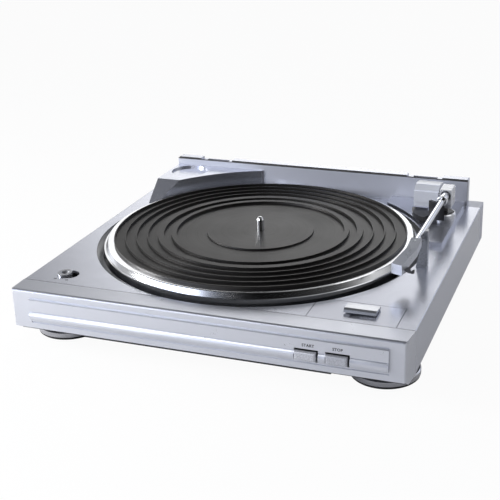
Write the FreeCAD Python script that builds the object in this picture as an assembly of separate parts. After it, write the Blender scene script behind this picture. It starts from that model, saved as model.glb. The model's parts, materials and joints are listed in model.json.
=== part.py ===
import FreeCAD, Part
import math
import os

os.makedirs("parts", exist_ok=True)

# Automatic belt-drive record deck. Millimetres, +Z up, front towards -Y, +X to the right.
# The origin is on the floor, under the middle of the plinth.

# Mat, platter and well; the plinth is laid out round them
mat_radius = 142.2
platter_radius = mat_radius + 6.2
platter_foot_radius = platter_radius + 2.0
platter_lip_radius = platter_radius + 3.6
well_radius = platter_lip_radius + 7.4
land_left = 11.8
land_right = 29.4
land_front = 21.0
land_rear = 12.2

# Plinth
plinth_width = 2 * well_radius + land_left + land_right
plinth_depth = 2 * well_radius + land_front + land_rear
half_width = plinth_width / 2.0
front_y = -plinth_depth / 2.0
rear_y = plinth_depth / 2.0
plinth_side_height = 40.0
foot_height = 14.0
cover_wall = 2.5
cover_edge_round = 0.8
corner_round = 1.2
tray_thickness = 2.0
tray_lip_height = 7.0
tray_clearance = 0.3
tray_front_gap = 5.4
tray_rib_drop = 2.2
tray_rib_depth = 13.0
tray_rib_inset = 66.0
boss_radius = 4.0
tray_screw_radius = 1.5
screw_clearance = 0.05

# Front fascia
fascia_depth = 25.0
fascia_rise = 1.2
fascia_edge_round = 2.2
fascia_bottom_rise = 5.2
fascia_wall = 3.0
fascia_taper = 2.0
panel_left_inset = 20.0
panel_right_inset = 15.2
panel_drop = 6.2
panel_stand = 2.5
panel_edge = 0.8
ridge_drop = 18.4
ridge_height = 8.0
ridge_stand = 1.6
groove_width = 0.8
groove_depth = 0.8
chin_gap = 1.8
chin_groove = 1.4

# Start and stop buttons
button_width = 18.4
button_height = 8.4
button_top_drop = 17.2
button_stand = 3.0
button_round = 2.0
button_travel = 2.5
button_side_gap = 0.5
button_right_gap = 1.4
button_top_gap = 1.6
button_flange = 1.6
button_flange_reach = 2.6
button_flange_gap = 0.2
start_button_x = half_width - 83.4
stop_button_x = half_width - 57.1
button_stem_radius = 2.0
button_stem_length = 17.0

# Platter, mat and spindle
platter_x = -half_width + land_left + well_radius
platter_y = front_y + land_front + well_radius
well_floor_drop = 12.0
well_wall = 2.0
well_bevel = 5.9
well_bevel_drop = 3.2
well_flange = 3.2
well_seat_gap = 0.2
platter_rise = 8.4
platter_side_height = 5.4
platter_lip_height = 0.9
platter_skirt_drop = 7.0
platter_skirt_wall = 3.0
platter_web = 3.4
platter_rib = 2.4
platter_rib_count = 12
platter_rib_depth = 5.0
platter_outer_rib_depth = 2.0
belt_rim_radius = 95.0
belt_rim_wall = 3.0
belt_rim_height = 10.0
mat_seat_drop = 1.4
mat_seat_gap = 0.3
mat_base = 1.8
mat_rib_height = 2.2
mat_rib_width = 1.6
mat_rib_taper = 0.25
mat_edge_round = 0.4
mat_thin_rib_insets = (11.2, 21.8, 32.6)
mat_wide_rib_insets = ((42.0, 48.6), (55.4, 60.8))
mat_disc_radius = 52.0
mat_disc_rise = 1.3
mat_bore_gap = 0.3
spindle_radius = 3.6
spindle_hub_radius = 3.4
spindle_shaft_radius = 3.0
spindle_stand = 12.4
spindle_nose = 3.0
spindle_clearance = 0.04
hub_radius = 13.0
bearing_wall = 3.0
bearing_length = 20.0
bearing_cap = 1.6
thrust_ball_radius = 2.0

# Motor and belt
motor_distance = 119.0
motor_angle = 205.0
motor_radius = 17.5
motor_floor_gap = 1.5
motor_shaft_radius = 1.0
motor_ear = 6.0
motor_ear_thickness = 2.0
pulley_radius = 6.0
pulley_flange = 1.4
pulley_side_gap = 0.6
pulley_rim = 0.8
motor_shaft_reach = 9.0
belt_width = 5.0
belt_thickness = 0.7
belt_gap = 0.3

# Automatic gear train under the platter
tooth_module = 1.25
pinion_teeth = 16
cam_gear_teeth = 64
cam_gear_thickness = 2.4
cam_gap_teeth = 7
cam_gear_angle = 32.0
gear_floor_gap = 1.6
gear_backlash = 0.25
cam_post_radius = 2.5
cam_hub_radius = 6.0
cam_window_count = 5
cam_window_place = 22.0
cam_window_radius = 7.5
running_gap = 0.05

# Rear housing and hinge rail
rear_wall_y = rear_y - 18.8
rear_wall_rise = 27.0
rear_wall_thickness = 1.0
rear_half_width = half_width - 15.0
rear_slot = 1.8
rail_depth = 10.5
rail_rise = 27.5
hinge_pocket_inner = half_width - 80.0
hinge_pocket_outer = half_width - 42.0
hinge_pocket_end = 6.0
hinge_step_drop = 2.5
hinge_pocket_depth = 22.0
hinge_pocket_wall = 1.8
block_rise = 20.0
block_left_x = -half_width + 16.0
block_front_y = rear_y - 76.5
block_ramp = 25.5
block_wall = 2.5
block_end_x = -half_width + 118.0
arc_clearance = 0.8
adapter_x = -half_width + 39.0
adapter_y = rear_y - 42.0
adapter_radius = 20.0
adapter_depth = 2.0

# Arm deck and pivot
pivot_x = half_width - 29.0
pivot_y = rear_y - 74.0
arm_x = pivot_x + 3.2
arm_y = pivot_y + 2.0
arm_rise = 31.0
deck_rise = 4.5
deck_front_y = rear_y - 143.0
deck_right_x = half_width - 16.4
deck_left_x = half_width - 94.0
pivot_ring_radius = 12.6
pivot_ring_bore = 10.8
pivot_ring_rise = 11.5
pivot_disc_radius = 10.2
pivot_disc_thickness = 2.4
pivot_neck_radius = 4.6
pivot_shaft_radius = 3.0
sleeve_wall = 1.8
sleeve_boss_wall = 4.5
sleeve_stop = 8.0
pivot_shaft_drop = 26.0
trip_plate_thickness = 1.5
trip_hub_height = 5.0
trip_reach = 34.0
trip_width = 10.0
housing_width = 12.0
housing_front = 10.0
housing_back = 10.5
housing_bottom_rise = 17.6
housing_top_rise = 36.6
housing_wall = 1.6
housing_mouth_radius = 4.9
housing_edge = 0.8
pitch_shaft_radius = 1.5

# Arm
tube_radius = 2.8
tube_bore = 2.2
tube_seat = 4.0
tube_end_y = arm_y - 146.0
neck_radius = 4.0
neck_end = 8.6
neck_stub_radius = 3.0
collar_radius = 4.9
collar_length = 6.0
collar_front = 28.0
hub_radius_arm = 3.6
hub_length = 8.0
head_angle = 20.0
socket_rear_y = arm_y - 141.5
socket_length = 18.0
socket_width = 9.4
socket_rear_rise = 34.4
socket_front_rise = 31.4
socket_drop = 7.5
head_length = 23.5
head_front_width = 10.6
head_front_rise = 24.0
head_height = 9.4
head_wall = 1.3
cartridge_inset = 6.0
cartridge_height = 4.6
cartridge_stand = 0.4
cartridge_gap = 0.2
stylus_body_height = 0.6
stylus_body_length = 6.0
stylus_body_width = 3.4
stylus_inset = 2.0
stylus_tip_radius = 0.15
stylus_tip_root = 0.5
stylus_clearance = 1.6
finger_length = 10.0
finger_thickness = 1.0
finger_width = 3.0
finger_curl = 3.0
weight_left_x = arm_x - 33.0
weight_gap = 2.4
weight_front = 4.8
weight_back = 30.0
weight_bottom_rise = 15.2
weight_skirt_rise = 19.6
weight_skirt_inset = 1.4
weight_face_rise = 32.0
weight_top_rise = 36.4
weight_groove = 0.8
weight_crown = 9.0
weight_lip = 1.6
weight_shaft_depth = 12.0
rest_y = arm_y - 121.5
rest_depth = 7.0
rest_width = 3.2
rest_foot_width = 10.0
rest_foot_rise = 25.0
rest_neck_width = 4.7
rest_gap = 0.5
rest_hook = 3.0

# Arm lifter and cue lever
lift_radius = 17.0
lift_band = 3.2
lift_wall_start = -14.0
lift_wall_end = 40.0
lift_plate_outer = 31.0
lift_plate_end = 92.0
lift_plate_height = 5.0
lift_plate_rise = 8.2
lift_gap = 0.35
lift_angle = 68.8
lift_post_distance = 20.0
lift_post_radius = 4.6
lift_post_gap = 0.4
lift_shaft_radius = 2.0
lift_shaft_drop = 16.0
lift_guide_drop = 14.0
lift_guide_wall = 2.5
lift_foot_overlap = 12.0
cue_left_x = half_width - 64.0
cue_width = 27.5
cue_rear_y = front_y + 56.0
cue_length = 16.0
cue_thickness = 2.2
cue_gap = 0.7
cue_axle_radius = 1.2
cue_axle_reach = 4.0
cue_pad = 3.0
hanger_width = 2.5
hanger_half = 3.0
cue_slot_gap = 0.4
cue_shank_width = 8.0
cue_hollow_inset = 6.0
cue_hollow_reach = 8.0
cue_hollow_depth = 1.2
field_x_pair = (half_width - 92.5, half_width - 16.5)
field_rear_y = front_y + 63.0
field_line_width = 0.5
field_line_depth = 0.4
cue_shank_length = 9.0

# Speed selector
speed_x = -half_width + 33.4
speed_y = front_y + 46.0
speed_length = 20.6
speed_width = 18.6
speed_recess = 4.5
speed_travel = 7.0
speed_knob_rise = 1.6
speed_knob_gap = 0.4
speed_knob_corner = 1.2
speed_knob_edge = 0.5
speed_scoop_radius = 5.5
speed_scoop_depth = 1.8
speed_stem = 3.0
speed_stem_drop = 3.5
speed_body_height = 8.0
speed_body_margin = 2.5

# Feet
foot_front_x = half_width - 30.0
foot_front_y = front_y + 48.0
foot_rear_x = half_width - 39.0
foot_rear_y = rear_y - 44.0
foot_radius = 30.0
foot_neck_radius = 25.5
foot_pad_height = 2.6
foot_band_height = 5.6
foot_ring_wall = 2.0
foot_pad_inset = 0.6
foot_pad_hole = 8.0
foot_pad_edge = 0.8
foot_screw_radius = 2.0
foot_screw_sink = 5.0
foot_sink_factor = 2.4

# Boards and power
transformer_x = -half_width + 76.0
transformer_y = rear_y - 58.0
transformer_size = (38.0, 32.0, 18.0)
transformer_winding_width = 23.75
core_yoke = 3.0
winding_round = 3.0
board_size = (84.0, 46.0)
board_x = half_width - 118.0
board_y = rear_y - 58.0
board_thickness = 1.6
board_post_inset = 5.0
capacitor_radius = 3.2
capacitor_height = 9.0
capacitor_pitch = 12.0
chip_length = 12.0
chip_width = 7.0
chip_height = 2.2
plug_length = 18.0
plug_width = 10.0
plug_height = 7.0
part_inset = 4.0
board_rise = 6.0
board_post_radius = 3.0
gland_radius = 5.0
gland_flange = 1.5
gland_reach = 5.5
gland_inner_reach = 3.0
gland_rise = 12.0
gland_lip = 1.8
cord_hole_radius = 2.6
mains_gland_x = -half_width + 60.0
signal_gland_x = half_width - 84.0

# Places worked out from the driving dimensions
seam_y = front_y + fascia_depth
base_z = foot_height
top_z = base_z + plinth_side_height
under_top_z = top_z - cover_wall
tray_top_z = base_z + tray_thickness
well_floor_z = top_z - well_floor_drop
well_under_z = well_floor_z - well_wall
well_inner = well_radius - well_bevel
platter_top_z = top_z + platter_rise
mat_seat_z = platter_top_z - mat_seat_drop
mat_flat_z = mat_seat_z + mat_base
mat_top_z = mat_flat_z + mat_rib_height
mat_disc_z = mat_flat_z + mat_disc_rise
sleeve_low_z = top_z - pivot_shaft_drop + sleeve_stop
platter_foot_z = platter_top_z - platter_side_height
platter_skirt_z = top_z - platter_skirt_drop
arm_z = top_z + arm_rise
deck_z = top_z + deck_rise
stylus_z = mat_top_z + stylus_clearance


def vec(x, y, z):
    return FreeCAD.Vector(x, y, z)


def block(x, y, z):
    """Box between three (low, high) pairs."""
    return Part.makeBox(x[1] - x[0], y[1] - y[0], z[1] - z[0], vec(x[0], y[0], z[0]))


def rod(x, y, z, radius):
    """Vertical cylinder; z is a (low, high) pair."""
    return Part.makeCylinder(radius, z[1] - z[0], vec(x, y, z[0]))


def rod_x(x, y, z, radius):
    return Part.makeCylinder(radius, x[1] - x[0], vec(x[0], y, z), vec(1, 0, 0))


def rod_y(x, y, z, radius):
    return Part.makeCylinder(radius, y[1] - y[0], vec(x, y[0], z), vec(0, 1, 0))


def turned(profile, x, y):
    """Solid of revolution about the vertical line at x, y, from (radius, z) points."""
    points = [vec(x + r, y, z) for r, z in profile]
    face = Part.Face(Part.makePolygon(points + points[:1]))
    return face.revolve(vec(x, y, 0), vec(0, 0, 1), 360)


def plate(points, z):
    """Flat plate from (x, y) points, between the z pair."""
    corners = [vec(x, y, z[0]) for x, y in points]
    face = Part.Face(Part.makePolygon(corners + corners[:1]))
    return face.extrude(vec(0, 0, z[1] - z[0]))


def bar_x(points, x):
    """Bar along X from (y, z) points, between the x pair."""
    corners = [vec(x[0], y, z) for y, z in points]
    face = Part.Face(Part.makePolygon(corners + corners[:1]))
    return face.extrude(vec(x[1] - x[0], 0, 0))


def pill(x, y, z, length, width):
    """Bar with round ends along X."""
    half = (length - width) / 2.0
    body = block((x - half, x + half), (y - width / 2.0, y + width / 2.0), z)
    ends = [rod(x + side * half, y, z, width / 2.0) for side in (-1, 1)]
    return body.multiFuse(ends).removeSplitter()


def upright_edges(shape):
    return [e for e in shape.Edges if abs(e.Vertexes[0].X - e.Vertexes[-1].X) < 1e-6
            and abs(e.Vertexes[0].Y - e.Vertexes[-1].Y) < 1e-6]


def rounded_block(x, y, z, radius):
    """Box with its upright edges rounded."""
    shape = block(x, y, z)
    return shape.makeFillet(radius, upright_edges(shape))


def around_platter(radius, degrees):
    angle = math.radians(degrees)
    return platter_x + radius * math.cos(angle), platter_y + radius * math.sin(angle)


def around_pivot(radius, degrees):
    """Point at an angle from straight forward towards the platter."""
    angle = math.radians(degrees)
    return pivot_x - radius * math.sin(angle), pivot_y - radius * math.cos(angle)


def save(name, shape):
    if not shape.isValid():
        raise ValueError(name + " is not a valid shape")
    shape.exportStep("parts/" + name + ".step")
    print(name, len(shape.Solids), "solids", round(shape.Volume / 1000.0, 2), "cm3")


def save_group(name, solids):
    save(name, Part.makeCompound(solids))


# Screws that come up from below: a round head and a plain shank
screw_head_factor = 1.9
screw_head_height = 1.4


def screw_up(x, y, head_z, shank_radius, length):
    head = rod(x, y, (head_z - screw_head_height, head_z), shank_radius * screw_head_factor)
    return head.fuse(rod(x, y, (head_z, head_z + length), shank_radius)).removeSplitter()


tray_screw_length = 9.0
tray_screw_side = half_width - 12.0
tray_screw_places = [(-half_width + 70.0, front_y + 36.0), (half_width - 72.0, front_y + 36.0)]
for side in (-1, 1):
    tray_screw_places += [(side * tray_screw_side, front_y + 96.0), (side * tray_screw_side, rear_y - 116.0),
                          (side * (half_width - 120.0), rear_y - 9.0)]
dish_screw_angles = (75.0, 135.0, 200.0, 222.0, 305.0, 345.0)
dish_screw_offset = 10.0
dish_screw_radius = 1.2
dish_tab_radius = 4.0
dish_screw_length = well_wall + cover_wall - 0.6
dish_screw_places = [around_platter(well_radius + dish_screw_offset, a) for a in dish_screw_angles]
dish_tab_z = (under_top_z - well_wall, under_top_z)
lift_x, lift_y = around_pivot(lift_post_distance, lift_angle)


def platter_arc_band(inner, z, x, y):
    """Block with the round space about the platter taken out."""
    return block(x, y, z).cut(rod(platter_x, platter_y, (z[0] - 1, z[1] + 1), inner))


def arm_deck():
    """Raised deck under the arm; its edge follows the well."""
    deck = platter_arc_band(well_radius + arc_clearance, (top_z, deck_z),
                            (deck_left_x, deck_right_x), (deck_front_y, rear_wall_y))
    return deck


def make_top_cover():
    outer = block((-half_width, half_width), (seam_y, rear_y), (base_z, top_z))
    rear_edges = [e for e in upright_edges(outer) if e.Vertexes[0].Y > 0]
    outer = outer.makeFillet(corner_round, rear_edges)
    rim = [e for e in outer.Edges if min(v.Z for v in e.Vertexes) > top_z - 1e-6
           and min(v.Y for v in e.Vertexes) > seam_y - 1e-6
           and max(v.Y for v in e.Vertexes) > seam_y + 1e-6]
    outer = outer.makeFillet(cover_edge_round, rim)
    inner = rounded_block((-half_width + cover_wall, half_width - cover_wall),
                          (seam_y - 20, rear_y - cover_wall), (base_z - 1, under_top_z), 1.0)
    cover = outer.cut(inner)
    bosses = [rod(x, y, (tray_top_z, under_top_z), boss_radius) for x, y in tray_screw_places]
    sleeve = rod(pivot_x, pivot_y, (sleeve_low_z, under_top_z), pivot_shaft_radius + sleeve_boss_wall)
    lift_guide = rod(lift_x, lift_y, (top_z - lift_guide_drop, under_top_z),
                     lift_shaft_radius + lift_guide_wall)
    cover = cover.multiFuse([arm_deck(), sleeve, lift_guide] + bosses).removeSplitter()
    cuts = [rod(platter_x, platter_y, (under_top_z - 1, top_z + 1), well_radius)]
    cuts += [rod(x, y, (tray_top_z - 1, tray_top_z + tray_screw_length), tray_screw_radius + screw_clearance)
             for x, y in tray_screw_places]
    cuts += [rod(x, y, (under_top_z - 1, under_top_z + dish_screw_length - well_wall + 0.1),
                 dish_screw_radius + screw_clearance) for x, y in dish_screw_places]
    cuts.append(rod(pivot_x, pivot_y, (base_z, deck_z + 1), pivot_shaft_radius + sleeve_wall))
    cuts.append(rod(lift_x, lift_y, (base_z, deck_z + 1), lift_shaft_radius + running_gap))
    cuts.append(pill(speed_x, speed_y, (under_top_z - 1, top_z + 1), speed_length, speed_width))
    cuts.append(block((cue_left_x + cue_pad - cue_slot_gap,
                       cue_left_x + cue_pad + cue_shank_width + cue_slot_gap),
                (cue_rear_y - cue_shank_length - cue_slot_gap, cue_rear_y + 1.0),
                (under_top_z - 1, top_z + 1)))
    for x in (mains_gland_x, signal_gland_x):
        cuts.append(rod_y(x, (rear_y - cover_wall - 1, rear_y + 1), base_z + gland_rise, gland_radius))
    cover = cover.cut(Part.makeCompound(cuts))
    save("top_cover", cover.cut(Part.makeCompound(cue_field_cuts())))


def cue_field_cuts():
    """Finger hollow under the cue tab and the engraved lines that frame its field."""
    floor = top_z - cue_hollow_depth
    x = (cue_left_x + cue_hollow_inset, cue_left_x + cue_width + 0.5)
    y = (cue_rear_y - cue_length - cue_hollow_reach, cue_rear_y - cue_shank_length)
    hollow = bar_x([(y[0], top_z + 1), (y[0], top_z), (y[0] + cue_hollow_reach, floor), (y[1], floor),
                    (y[1], top_z + 1)], x)
    z = (top_z - field_line_depth, top_z + 1)
    cross = block(field_x_pair, (field_rear_y, field_rear_y + field_line_width), z)
    sides = [block((x, x + field_line_width), (seam_y - 1, field_rear_y + field_line_width), z)
             for x in field_x_pair]
    return [hollow, cross] + sides


def make_front_fascia():
    """Shell with slanted top strip, end blocks, proud control panel, chin groove and button openings."""
    top = top_z + fascia_rise
    low = base_z + fascia_bottom_rise
    back = front_y + fascia_wall
    section = [(front_y, low), (front_y, top), (seam_y, top_z), (seam_y, top_z - cover_wall),
               (back + 1.0, top - cover_wall), (back, top - cover_wall - 1.0), (back, low)]
    shell = bar_x(section, (-half_width, half_width))
    edge = [e for e in shell.Edges if all(abs(v.Y - front_y) + abs(v.Z - top) < 1e-6 for v in e.Vertexes)]
    shell = shell.makeFillet(fascia_edge_round, edge)
    ends = []
    for side in (-1, 1):
        outer = side * half_width
        inner = side * (half_width - cover_wall)
        x = (min(outer, inner), max(outer, inner))
        ends.append(bar_x([(front_y + 1.0, low), (front_y + 1.0, top_z - 2.0), (seam_y, top_z - 0.5),
                           (seam_y, base_z), (front_y + 9.0, base_z)], x))
    shell = shell.multiFuse(ends + [control_panel()]).removeSplitter()
    cuts = []
    for side in (-1, 1):
        outer = side * (half_width + 1)
        edge_x = side * half_width
        slim_x = edge_x - side * fascia_taper
        round_x = slim_x - side * fascia_edge_round / 2.0
        points = [(edge_x, seam_y), (slim_x, front_y + fascia_edge_round),
                  (slim_x - side * 0.3, front_y + 0.7),
                  (round_x, front_y), (round_x, front_y - 1), (outer, front_y - 1), (outer, seam_y)]
        cuts.append(plate(points, (base_z - 1, top + 1)))
    groove_top = top_z - ridge_drop - ridge_height - chin_gap
    cuts.append(block(panel_x_pair, (front_y - 1, front_y + groove_depth),
                      (groove_top - chin_groove, groove_top)))
    for x in (start_button_x, stop_button_x):
        half = button_width / 2.0
        z = (button_z - button_height / 2.0 - button_side_gap,
             button_z + button_height / 2.0 + button_top_gap)
        cuts.append(block((x - half - button_side_gap, x + half + button_right_gap),
                          (front_y - panel_stand - ridge_stand - 1.0, back + 1.0), z))
    cuts.append(rod(platter_x, platter_y, (top_z - 8, top + 1), well_radius))
    save("front_fascia", shell.cut(Part.makeCompound(cuts)).removeSplitter())


panel_x_pair = (-half_width + panel_left_inset, half_width - panel_right_inset)


def control_panel():
    """Proud panel: a flat upper field, a groove and a half-round ridge along its lower edge."""
    face = front_y - panel_stand
    top = top_z - panel_drop
    ridge_top = top_z - ridge_drop
    ridge_low = ridge_top - ridge_height
    inside = front_y + 0.5
    x = panel_x_pair[0]
    outline = [(inside, top), (face + panel_edge, top), (face, top - panel_edge),
               (face, ridge_top + groove_width), (face + groove_depth, ridge_top + groove_width),
               (face + groove_depth, ridge_top), (face, ridge_top)]
    upper = Part.makePolygon([vec(x, y, z) for y, z in outline])
    middle = (ridge_top + ridge_low) / 2.0
    bulge = Part.Arc(vec(x, face, ridge_top), vec(x, face - ridge_stand, middle),
                     vec(x, face, ridge_low)).toShape()
    lower = Part.makePolygon([vec(x, face, ridge_low), vec(x, inside, ridge_low), vec(x, inside, top)])
    wire = Part.Wire(upper.Edges + [bulge] + lower.Edges)
    return Part.Face(wire).extrude(vec(panel_x_pair[1] - panel_x_pair[0], 0, 0))


button_z = top_z - button_top_drop - button_height / 2.0
button_front_y = front_y - panel_stand - button_stand
fascia_back_y = front_y + fascia_wall
stem_end_y = fascia_back_y + button_travel + button_flange + button_stem_length
bracket_y = fascia_back_y + button_flange + 9.5
bracket_plate = 1.5
bracket_stand = 8.0
bracket_foot = 12.0
switch_gap = 0.3
switch_width = 12.0
switch_depth = 6.0
switch_stand = 4.0


def button(x):
    """Cap with rounded edges, inner flange and guide stem."""
    half_w = button_width / 2.0
    half_h = button_height / 2.0
    cap = block((x - half_w, x + half_w), (button_front_y, fascia_back_y + button_flange_gap),
                (button_z - half_h, button_z + half_h))
    front_edges = [e for e in cap.Edges if max(v.Y for v in e.Vertexes) < button_front_y + 1e-6]
    cap = cap.makeFillet(button_round, front_edges)
    reach = button_flange_reach
    flange_y = fascia_back_y + button_flange_gap
    flange = block((x - half_w - reach, x + half_w + reach), (flange_y, flange_y + button_flange),
                   (button_z - half_h - reach, button_z + half_h + reach))
    stem = rod_y(x, (fascia_back_y + button_flange, stem_end_y), button_z, button_stem_radius)
    return cap.multiFuse([flange, stem]).removeSplitter()


def make_buttons():
    save("start_button", button(start_button_x))
    save("stop_button", button(stop_button_x))
    left = start_button_x - button_width / 2.0
    right = stop_button_x + button_width / 2.0
    upright = block((left, right), (bracket_y, bracket_y + bracket_plate),
                    (tray_top_z, button_z + bracket_stand))
    foot = block((left, right), (bracket_y, bracket_y + bracket_foot),
                 (tray_top_z, tray_top_z + bracket_plate))
    holes = [rod_y(x, (bracket_y - 1, bracket_y + bracket_plate + 1), button_z,
                   button_stem_radius + running_gap)
             for x in (start_button_x, stop_button_x)]
    bracket = upright.fuse(foot).removeSplitter().cut(Part.makeCompound(holes))
    save("button_bracket", bracket)
    switch_y = stem_end_y + switch_gap + button_travel
    bodies = [block((x - switch_width / 2.0, x + switch_width / 2.0), (switch_y, switch_y + switch_depth),
                    (tray_top_z, button_z + switch_stand)) for x in (start_button_x, stop_button_x)]
    save_group("button_switches", bodies)


def make_well_dish():
    edge = well_radius - well_seat_gap
    flange = well_radius + well_flange
    profile = [(0, well_under_z), (well_inner + well_wall, well_under_z),
               (well_inner + well_wall, dish_tab_z[0]), (flange, dish_tab_z[0]), (flange, dish_tab_z[1]),
               (edge, dish_tab_z[1]), (edge, top_z - 0.3), (well_inner, top_z - 0.3 - well_bevel_drop),
               (well_inner, well_floor_z), (0, well_floor_z)]
    dish = turned(profile, platter_x, platter_y)
    tabs = []
    for angle in dish_screw_angles:
        x, y = around_platter(well_radius + dish_screw_offset, angle)
        x0, y0 = around_platter(well_radius + 1.0, angle)
        tab = rod(x, y, dish_tab_z, dish_tab_radius)
        arm = block((0, dish_screw_offset - 1.0), (-dish_tab_radius, dish_tab_radius), dish_tab_z)
        arm.rotate(vec(0, 0, 0), vec(0, 0, 1), angle)
        arm.translate(vec(x0, y0, 0))
        tabs += [tab, arm]
    boss = rod(platter_x, platter_y, (well_under_z - 4, well_floor_z),
               spindle_shaft_radius + bearing_wall + 3)
    cam_boss = rod(cam_x, cam_y, (well_under_z - 3, gear_z[0] - 0.3), cam_post_radius + 3)
    dish = dish.multiFuse(tabs + [boss, cam_boss]).removeSplitter()
    cuts = [rod(x, y, (dish_tab_z[0] - 1, dish_tab_z[1] + 1), dish_screw_radius + screw_clearance)
            for x, y in dish_screw_places]
    cuts.append(rod(platter_x, platter_y, (well_under_z - 6, well_floor_z + 1),
                    spindle_shaft_radius + bearing_wall))
    cuts.append(rod(motor_x, motor_y, (well_under_z - 1, well_floor_z + 1),
                    pulley_radius + pulley_flange + 1.5))
    cuts.append(rod(cam_x, cam_y, (well_under_z - 4, gear_z[0] + 1), cam_post_radius))
    cuts += [rod(x, y, (well_under_z - 1, well_floor_z + 1), motor_screw_radius + screw_clearance)
             for x, y in motor_screw_places]
    save("well_dish", dish.cut(Part.makeCompound(cuts)))
    save_group("dish_screws", [screw_up(x, y, dish_tab_z[0], dish_screw_radius, dish_screw_length)
                               for x, y in dish_screw_places])


motor_x, motor_y = around_platter(motor_distance, motor_angle)
motor_screw_radius = 1.5
motor_screw_places = [(motor_x + side * (motor_radius + motor_ear / 2.0) * math.cos(math.radians(40)),
                       motor_y + side * (motor_radius + motor_ear / 2.0) * math.sin(math.radians(40)))
                      for side in (-1, 1)]
cam_distance = tooth_module * (pinion_teeth + cam_gear_teeth) / 2.0
cam_x, cam_y = around_platter(cam_distance, cam_gear_angle)
gear_z = (well_floor_z + gear_floor_gap, well_floor_z + gear_floor_gap + cam_gear_thickness)


def gear_points(teeth, missing, phase):
    """Outline of a spur gear with straight-sided teeth; the first teeth may be missing."""
    pitch = tooth_module * teeth / 2.0
    tip = pitch + tooth_module
    root = pitch - 1.25 * tooth_module
    step = 2 * math.pi / teeth
    points = []
    for i in range(teeth):
        middle = phase + i * step
        if i < missing / 2.0 or i > teeth - missing / 2.0:
            points.append((root, middle - step / 2.0))
            points.append((root, middle))
            continue
        half = step / 4.0 - gear_backlash / 2.0 / pitch
        points += [(root, middle - half * 1.45), (tip, middle - half * 0.5), (tip, middle + half * 0.5),
                   (root, middle + half * 1.45)]
    return [(r * math.cos(a), r * math.sin(a)) for r, a in points]


def gear(teeth, missing, phase, x, y, z):
    points = [(x + px, y + py) for px, py in gear_points(teeth, missing, phase)]
    return plate(points, z)


def make_platter():
    inner_skirt = platter_foot_radius - platter_skirt_wall
    web_z = platter_top_z - platter_web
    belt_inner = belt_rim_radius - belt_rim_wall
    belt_foot_z = web_z - belt_rim_height
    profile = [(spindle_hub_radius, web_z), (belt_inner, web_z), (belt_inner, belt_foot_z),
               (belt_rim_radius, belt_foot_z),
               (belt_rim_radius, web_z), (inner_skirt - 2.0, web_z), (inner_skirt, web_z - 2.0),
               (inner_skirt, platter_skirt_z), (platter_foot_radius - 1.0, platter_skirt_z),
               (platter_foot_radius - 1.0, platter_foot_z - platter_lip_height - 0.6),
               (platter_lip_radius, platter_foot_z - platter_lip_height),
               (platter_lip_radius, platter_foot_z),
               (platter_foot_radius, platter_foot_z), (platter_radius, platter_top_z - 0.5),
               (platter_radius - 0.6, platter_top_z), (mat_radius + mat_seat_gap, platter_top_z),
               (mat_radius + mat_seat_gap, mat_seat_z), (spindle_hub_radius, mat_seat_z)]
    body = turned(profile, platter_x, platter_y)
    hub = rod(platter_x, platter_y, (hub_z, web_z), hub_radius).cut(
        rod(platter_x, platter_y, (hub_z - 1, web_z + 1), spindle_hub_radius))
    ribs = []
    for i in range(platter_rib_count):
        angle = 360.0 * i / platter_rib_count
        for low, high, depth in ((hub_radius - 0.5, belt_inner + 0.5, platter_rib_depth),
                                 (belt_rim_radius - 0.5, inner_skirt + 0.5, platter_outer_rib_depth)):
            rib = block((low, high), (-platter_rib / 2.0, platter_rib / 2.0), (web_z - depth, web_z + 0.5))
            rib.rotate(vec(0, 0, 0), vec(0, 0, 1), angle)
            rib.translate(vec(platter_x, platter_y, 0))
            ribs.append(rib)
    body = body.multiFuse([hub] + ribs).removeSplitter()
    save("platter", body)
    pinion = gear(pinion_teeth, 0, 0.0, platter_x, platter_y, (gear_z[0] - 0.4, hub_z))
    save("hub_pinion", pinion.cut(rod(platter_x, platter_y, (gear_z[0] - 1, hub_z + 1),
                                      spindle_shaft_radius)))


hub_z = platter_top_z - platter_web - 11.5


def raised_ring(outer, inner):
    """Profile points of one raised ring of the mat, from its outside to its inside."""
    return [(outer, mat_flat_z), (outer - mat_rib_taper, mat_top_z), (inner + mat_rib_taper, mat_top_z),
            (inner, mat_flat_z)]


def make_mat():
    """Mat with a raised edge, narrow ribs, two wide ribs and a low centre disc."""
    bore = spindle_radius + mat_bore_gap
    edge_inner = mat_radius - mat_rib_width
    profile = [(bore, mat_seat_z), (mat_radius, mat_seat_z), (mat_radius, mat_top_z - mat_edge_round),
               (mat_radius - mat_edge_round, mat_top_z), (edge_inner + mat_rib_taper, mat_top_z),
               (edge_inner, mat_flat_z)]
    half = mat_rib_width / 2.0
    for inset in mat_thin_rib_insets:
        middle = mat_radius - inset
        profile += raised_ring(middle + half, middle - half)
    for outer, inner in mat_wide_rib_insets:
        profile += raised_ring(mat_radius - outer, mat_radius - inner)
    profile += [(mat_disc_radius + mat_rib_taper, mat_flat_z), (mat_disc_radius, mat_disc_z),
                (bore, mat_disc_z)]
    save("platter_mat", turned(profile, platter_x, platter_y))


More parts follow.
